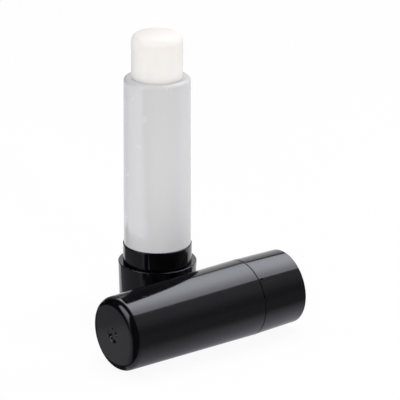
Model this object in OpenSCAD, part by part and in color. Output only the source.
// Lip balm: an open twist-up stick standing on its knob, with its cap lying beside it.
// The origin is the centre of the knob's underside, +Z is up along the stick, and the cap
// lies along X with its closed end towards -X. All sizes are in millimetres and degrees.

/* [Balm] */
// Radius of the wax stick
balm_r = 6.25; // [5:0.05:9]
// How far the stick stands out of the tube
balm_out = 11.4; // [0:0.1:25]
// Radius of the rounded shoulder at the stick's tip
balm_shoulder = 1.7; // [0.4:0.1:3]
// Rise of the shallow dome on the tip
balm_dome = 0.8; // [0.2:0.1:3]
// Gap between the stick and the tube's bore
balm_gap = 0.05; // [0.05:0.05:0.5]
// How far the fully lowered tip lies below the rim
balm_sunk = 0.6; // [0.2:0.1:3]
// Solid wax left above the spindle's tip when the stick is fully lowered
balm_cover = 5.6; // [3:0.1:12]

/* [Tube] */
// Wall of the tube at its rim
tube_wall = 1.8; // [1.4:0.05:3]
// Length of the tube above the collar
tube_h = 42.25; // [30:0.05:70]
// Draft of the tube's outside, wider downwards
tube_draft = 0.18; // [0:0.01:0.5]
// Rounding of the rim's outer edge
rim_round = 1.5; // [0.4:0.05:1.5]
// Rounding of the rim's inner edge
lip_round = 0.25; // [0.1:0.05:0.4]
// Step from the tube's side down to its spigot in the knob
spigot_step = 0.75; // [0.5:0.05:1]
// Depth of the two keyways in the bore
keyway_d = 0.55; // [0.3:0.05:0.8]
// Width of the two keyways
keyway_w = 1.8; // [1:0.1:4]

/* [Collar] */
// Height of the collar
collar_h = 4.55; // [2:0.05:8]
// Step from the tube's side out to the collar's side
collar_step = 0.24; // [0.1:0.02:1]
// Depth of the seat that the tube has for the collar
collar_seat = 0.34; // [0.2:0.02:0.45]
// Rounding of the collar's edges
collar_edge = 0.22; // [0.05:0.01:0.3]

/* [Knob] */
// Height of the knob
knob_h = 13; // [9:0.5:25]
// Width of the ledge around the collar, on which the closed cap stands
knob_ledge = 1.18; // [0.8:0.02:3]
// Draft of the knob's side, narrower downwards
knob_draft = 1.35; // [0:0.05:2]
// Wall of the knob's floor
knob_floor = 1.6; // [1:0.1:3]
// Rounding of the knob's upper edge
knob_edge = 0.35; // [0.1:0.05:0.6]
// Rounding of the knob's lower edge
foot_edge = 0.5; // [0.1:0.05:1]
// Height of the snap bead on the tube's spigot
bead_h = 1.2; // [0.6:0.1:2]
// How far the snap bead stands out
bead_d = 0.35; // [0.1:0.05:0.5]
// Place of the snap bead above the spigot's end
bead_up = 1.6; // [0.5:0.1:3]

/* [Spindle] */
// Radius of the spindle between its threads
spindle_r = 2; // [1.5:0.1:2.6]
// Depth of the thread
thread_d = 0.6; // [0.3:0.05:0.8]
// Rise of the thread in one turn
thread_lead = 8; // [6:0.5:14]
// Gap between the spindle's thread and the carrier's
thread_gap = 0.25; // [0.2:0.05:0.4]
// Thickness of the spindle's flange
flange_t = 1.5; // [0.8:0.1:2.5]

/* [Carrier] */
// Height of the carrier
carrier_h = 8; // [5:0.5:12]
// Thickness of the carrier's threaded floor
nut_t = 3; // [2:0.1:4]
// Wall of the carrier's cup
cup_wall = 0.55; // [0.4:0.05:1]

/* [Cap] */
// Wall of the cap at its seam
cap_wall = 1; // [0.8:0.02:2]
// Wall of the cap's closed end
cap_end = 1.2; // [0.8:0.1:3]
// Rounding of the closed end's shoulder
cap_shoulder = 2.05; // [1:0.05:3]
// Length of the cap's skirt, from the seam to the mouth
skirt_l = 12.4; // [8:0.2:20]
// Draft of the shell, narrower towards the closed end
shell_draft = 0.7; // [0:0.01:0.8]
// Draft of the skirt, narrower towards the mouth
skirt_draft = 1.1; // [0:0.05:1.5]
// Length of the lap between shell and skirt
lap_l = 3; // [1.5:0.1:6]
// Wall of the skirt's lap
lap_wall = 0.45; // [0.3:0.05:0.5]
// Rounding of both edges at the seam
seam_edge = 0.14; // [0.05:0.01:0.25]
// Rounding of the mouth's outer edge
mouth_edge = 0.2; // [0.05:0.01:0.25]
// Radius of the moulding gate's dimple in the closed end
gate_r = 1.1; // [0.4:0.05:2]
// Depth of the dimple
gate_d = 0.3; // [0.1:0.05:0.5]
// Radius of the gate's stub in the dimple
stub_r = 0.42; // [0.1:0.02:0.5]

/* [Placing] */
// Gap between the knob and the cap that lies beside it
cap_apart = 6.02; // [1:0.02:40]
// Place of the cap's seam along X
cap_shift = 7.2; // [-30:0.2:30]

/* [Clearances] */
// Running gap between the tube's spigot and the knob's socket
turn_gap = 0.08; // [0.03:0.01:0.1]
// Gap between parts that turn face to face
face_gap = 0.12; // [0.05:0.01:0.3]
// Gap between parts that are pressed together and stay
seat_gap = 0.03; // [0.01:0.01:0.05]
// Gap between the carrier and the tube's bore
carrier_gap = 0.1; // [0.05:0.01:0.2]
// Gap between the cap's mouth and the collar
cap_fit = 0.05; // [0.02:0.01:0.1]
// Gap between the cap's inside and the tube's side
cap_gap = 0.12; // [0.05:0.01:0.4]
// Gap between the closed cap's end and the rim
head_gap = 2; // [0.4:0.1:5]

/* [Hidden] */

round_fn = 128;
edge_steps = 6;
tip_steps = 12;
thread_points = 12;
slices_per_turn = 16;
overcut = 1;

// Heights on the standing stick
flange_top = knob_floor + flange_t;
spigot_z = flange_top + 2 * face_gap;
seat_z = knob_h + face_gap;
shoulder_z = seat_z + collar_h;
rim_z = shoulder_z + tube_h;
bead_z = spigot_z + bead_up;

// Radii, from the wax outwards
bore_r = balm_r + balm_gap;
rim_r = bore_r + tube_wall;
tube_r = rim_r + tan(tube_draft) * tube_h;
seat_r = tube_r - collar_seat;
spigot_r = tube_r - spigot_step;
bead_r = spigot_r + bead_d;
socket_r = spigot_r + turn_gap;
keyway_r = bore_r + keyway_d;
collar_r = tube_r + collar_step;
knob_r = collar_r + knob_ledge;
foot_r = knob_r - tan(knob_draft) * knob_h;
crest_r = spindle_r + thread_d;

// The stick's travel: lowered it hides below the rim, raised its carrier reaches the rim
carrier_low = flange_top + 4 * face_gap;
lift = balm_out + balm_sunk;
carrier_z = carrier_low + lift;
carrier_top = carrier_z + carrier_h;
balm_top = rim_z + balm_out;
carrier_high = rim_z - balm_sunk - carrier_h;
keyway_top = carrier_high + nut_t + 2 * face_gap;
spindle_top = rim_z - balm_sunk - balm_cover;
hole_top = spindle_top + lift + 4 * face_gap;
hole_r = crest_r + thread_gap;
carrier_r = bore_r - carrier_gap;
cup_r = carrier_r - cup_wall;
plug_r = cup_r - seat_gap;
lug_r = keyway_r - carrier_gap;
lug_w = keyway_w - 2 * carrier_gap;
dome_r = balm_r - balm_shoulder;
dome_ball = (dome_r * dome_r + balm_dome * balm_dome) / (2 * balm_dome);
dome_turn = asin(dome_r / dome_ball);

// The cap covers the collar and the tube, and its closed end keeps clear of the rim
cap_l = rim_z - knob_h + head_gap + cap_end;
shell_l = cap_l - skirt_l;
shell_bore = tube_r + cap_gap;
mouth_bore = collar_r + cap_fit;
seam_r = shell_bore + cap_wall;
end_r = seam_r - tan(shell_draft) * shell_l;
mouth_r = seam_r - tan(skirt_draft) * skirt_l;
lap_r = shell_bore + lap_wall;
mouth_depth = collar_h + 4 * face_gap;
mouth_lead = 2 * face_gap;
shell_thin = end_r - shell_bore;
inner_shoulder = cap_shoulder - shell_thin;
cap_y = -(knob_r + cap_apart + seam_r);

// Points of an arc about c, from one angle to another
function arc(c, r, from, to, steps = edge_steps) =
    [for (i = [0 : steps]) let (a = from + (to - from) * i / steps) c + r * [cos(a), sin(a)]];

// Outline of a two-start thread, cut square to its axis
function thread_outline(root_r) =
    [for (i = [0 : thread_points - 1]) let (a = 360 * i / thread_points)
        (root_r + thread_d * (1 + cos(2 * a)) / 2) * [cos(a), sin(a)]];

module turned(points) {
    rotate_extrude($fn = round_fn) polygon(points);
}

// A right-hand thread whose phase at z = 0 is always the same, so that any two mesh
module thread(root_r, from, to) {
    turns = (to - from) / thread_lead;
    translate([0, 0, from])
        rotate([0, 0, 360 * from / thread_lead])
            linear_extrude(height = to - from, twist = -360 * turns, slices = ceil(turns * slices_per_turn))
                polygon(thread_outline(root_r));
}

// Two opposite keys or keyways, rounded to the radius r
module keys(r, width, from, to) {
    intersection() {
        translate([0, 0, from]) cylinder(r = r, h = to - from, $fn = round_fn);
        translate([-r - overcut, -width / 2, from]) cube([2 * (r + overcut), width, to - from]);
    }
}

// Twist knob: a drafted cup with a groove that holds the tube's snap bead
module base_knob() {
    groove_r = bead_r + face_gap;
    color("#1c1c20")
        turned(concat(
            [[0, 0]],
            arc([foot_r - foot_edge, foot_edge], foot_edge, -90, 0),
            arc([knob_r - knob_edge, knob_h - knob_edge], knob_edge, 0, 90),
            [[socket_r, knob_h],
             [socket_r, bead_z + bead_h + face_gap],
             [groove_r, bead_z + bead_h + face_gap],
             [groove_r, bead_z - face_gap],
             [socket_r, bead_z - face_gap],
             [socket_r, knob_floor],
             [0, knob_floor]]));
}

// Spindle: a flange that seats on the knob's floor, and the thread that lifts the carrier
module screw_spindle() {
    color("#d9d9dc") {
        translate([0, 0, knob_floor])
            cylinder(r = socket_r - seat_gap, h = flange_t, $fn = round_fn);
        thread(spindle_r, knob_floor + flange_t / 2, spindle_top);
    }
}

// Tube: a thick wall with a rounded rim, a seat for the collar and a spigot in the knob
module body_tube() {
    color("#e4e2e8")
        difference() {
            turned(concat(
                [[bore_r, spigot_z]],
                arc([bore_r + lip_round, rim_z - lip_round], lip_round, 180, 90),
                arc([rim_r - rim_round, rim_z - rim_round], rim_round, 90, 0),
                [[tube_r, shoulder_z],
                 [seat_r, shoulder_z],
                 [seat_r, seat_z],
                 [spigot_r, seat_z],
                 [spigot_r, bead_z + bead_h],
                 [bead_r, bead_z + bead_h],
                 [bead_r, bead_z + bead_d],
                 [spigot_r, bead_z],
                 [spigot_r, spigot_z]]));
            keys(keyway_r, keyway_w, spigot_z - overcut, keyway_top);
        }
}

// Collar: the ring that the closed cap grips, held between the knob and the tube's shoulder
module collar() {
    color("#1c1c20")
        turned(concat(
            [[seat_r + seat_gap, seat_z]],
            arc([collar_r - collar_edge, seat_z + collar_edge], collar_edge, -90, 0),
            arc([collar_r - collar_edge, shoulder_z - collar_edge], collar_edge, 0, 90),
            [[seat_r + seat_gap, shoulder_z]]));
}

// Carrier: a cup for the wax on a threaded floor, with two lugs that run in the keyways
module carrier_cup() {
    color("#f2f2f2")
        difference() {
            union() {
                turned([[0, carrier_z], [carrier_r, carrier_z], [carrier_r, carrier_top],
                        [cup_r, carrier_top], [cup_r, carrier_z + nut_t], [0, carrier_z + nut_t]]);
                keys(lug_r, lug_w, carrier_z, carrier_z + nut_t);
            }
            thread_hole();
        }
}

// The carrier's thread, turned so that it meshes with the spindle at the height it has
module thread_hole() {
    thread(spindle_r + thread_gap, carrier_z - overcut, carrier_z + nut_t + overcut);
}

// Wax stick: its lower end fills the cup, and a blind hole clears the spindle
module balm() {
    color("#f4f1ec")
        turned(concat(
            [[hole_r, carrier_z + nut_t],
             [plug_r, carrier_z + nut_t],
             [plug_r, carrier_top],
             [balm_r, carrier_top]],
            arc([dome_r, balm_top - balm_dome - balm_shoulder], balm_shoulder, 0, 90 - dome_turn),
            arc([0, balm_top - dome_ball], dome_ball, 90 - dome_turn, 90, tip_steps),
            [[0, hole_top],
             [hole_r, hole_top]]));
}

// Puts the cap on its side: it rests along the whole line of its drafted shell
module lying_down() {
    translate([cap_shift, cap_y, seam_r * cos(shell_draft)])
        rotate([0, 90 - shell_draft, 0])
            translate([0, 0, -shell_l])
                children();
}

// Cap shell: the long closed moulding, with its gate mark in the middle of the end
module cap_shell() {
    color("#1c1c20")
        lying_down()
            turned(concat(
                [[0, gate_d / 2],
                 [stub_r, gate_d / 2],
                 [stub_r, gate_d],
                 [gate_r - gate_d / 2, gate_d],
                 [gate_r, 0]],
                arc([end_r - cap_shoulder, cap_shoulder], cap_shoulder, -90, 0),
                arc([seam_r - seam_edge, shell_l - seam_edge], seam_edge, 0, 90),
                [[lap_r + seat_gap, shell_l],
                 [lap_r + seat_gap, shell_l - lap_l],
                 [shell_bore, shell_l - lap_l]],
                arc([shell_bore - inner_shoulder, cap_end + inner_shoulder], inner_shoulder, 0, -90),
                [[0, cap_end]]));
}

// Cap skirt: the short moulding with the mouth, lapped into the shell
module cap_skirt() {
    color("#202024")
        lying_down()
            turned(concat(
                [[shell_bore, shell_l - lap_l + seat_gap],
                 [lap_r, shell_l - lap_l + seat_gap],
                 [lap_r, shell_l]],
                arc([seam_r - seam_edge, shell_l + seam_edge], seam_edge, -90, 0),
                arc([mouth_r - mouth_edge, cap_l - mouth_edge], mouth_edge, 0, 90),
                [[mouth_bore + mouth_lead / 2, cap_l],
                 [mouth_bore, cap_l - mouth_lead],
                 [mouth_bore, cap_l - mouth_depth],
                 [shell_bore, cap_l - mouth_depth - (mouth_bore - shell_bore)]]));
}

base_knob();
screw_spindle();
body_tube();
collar();
carrier_cup();
balm();
cap_shell();
cap_skirt();
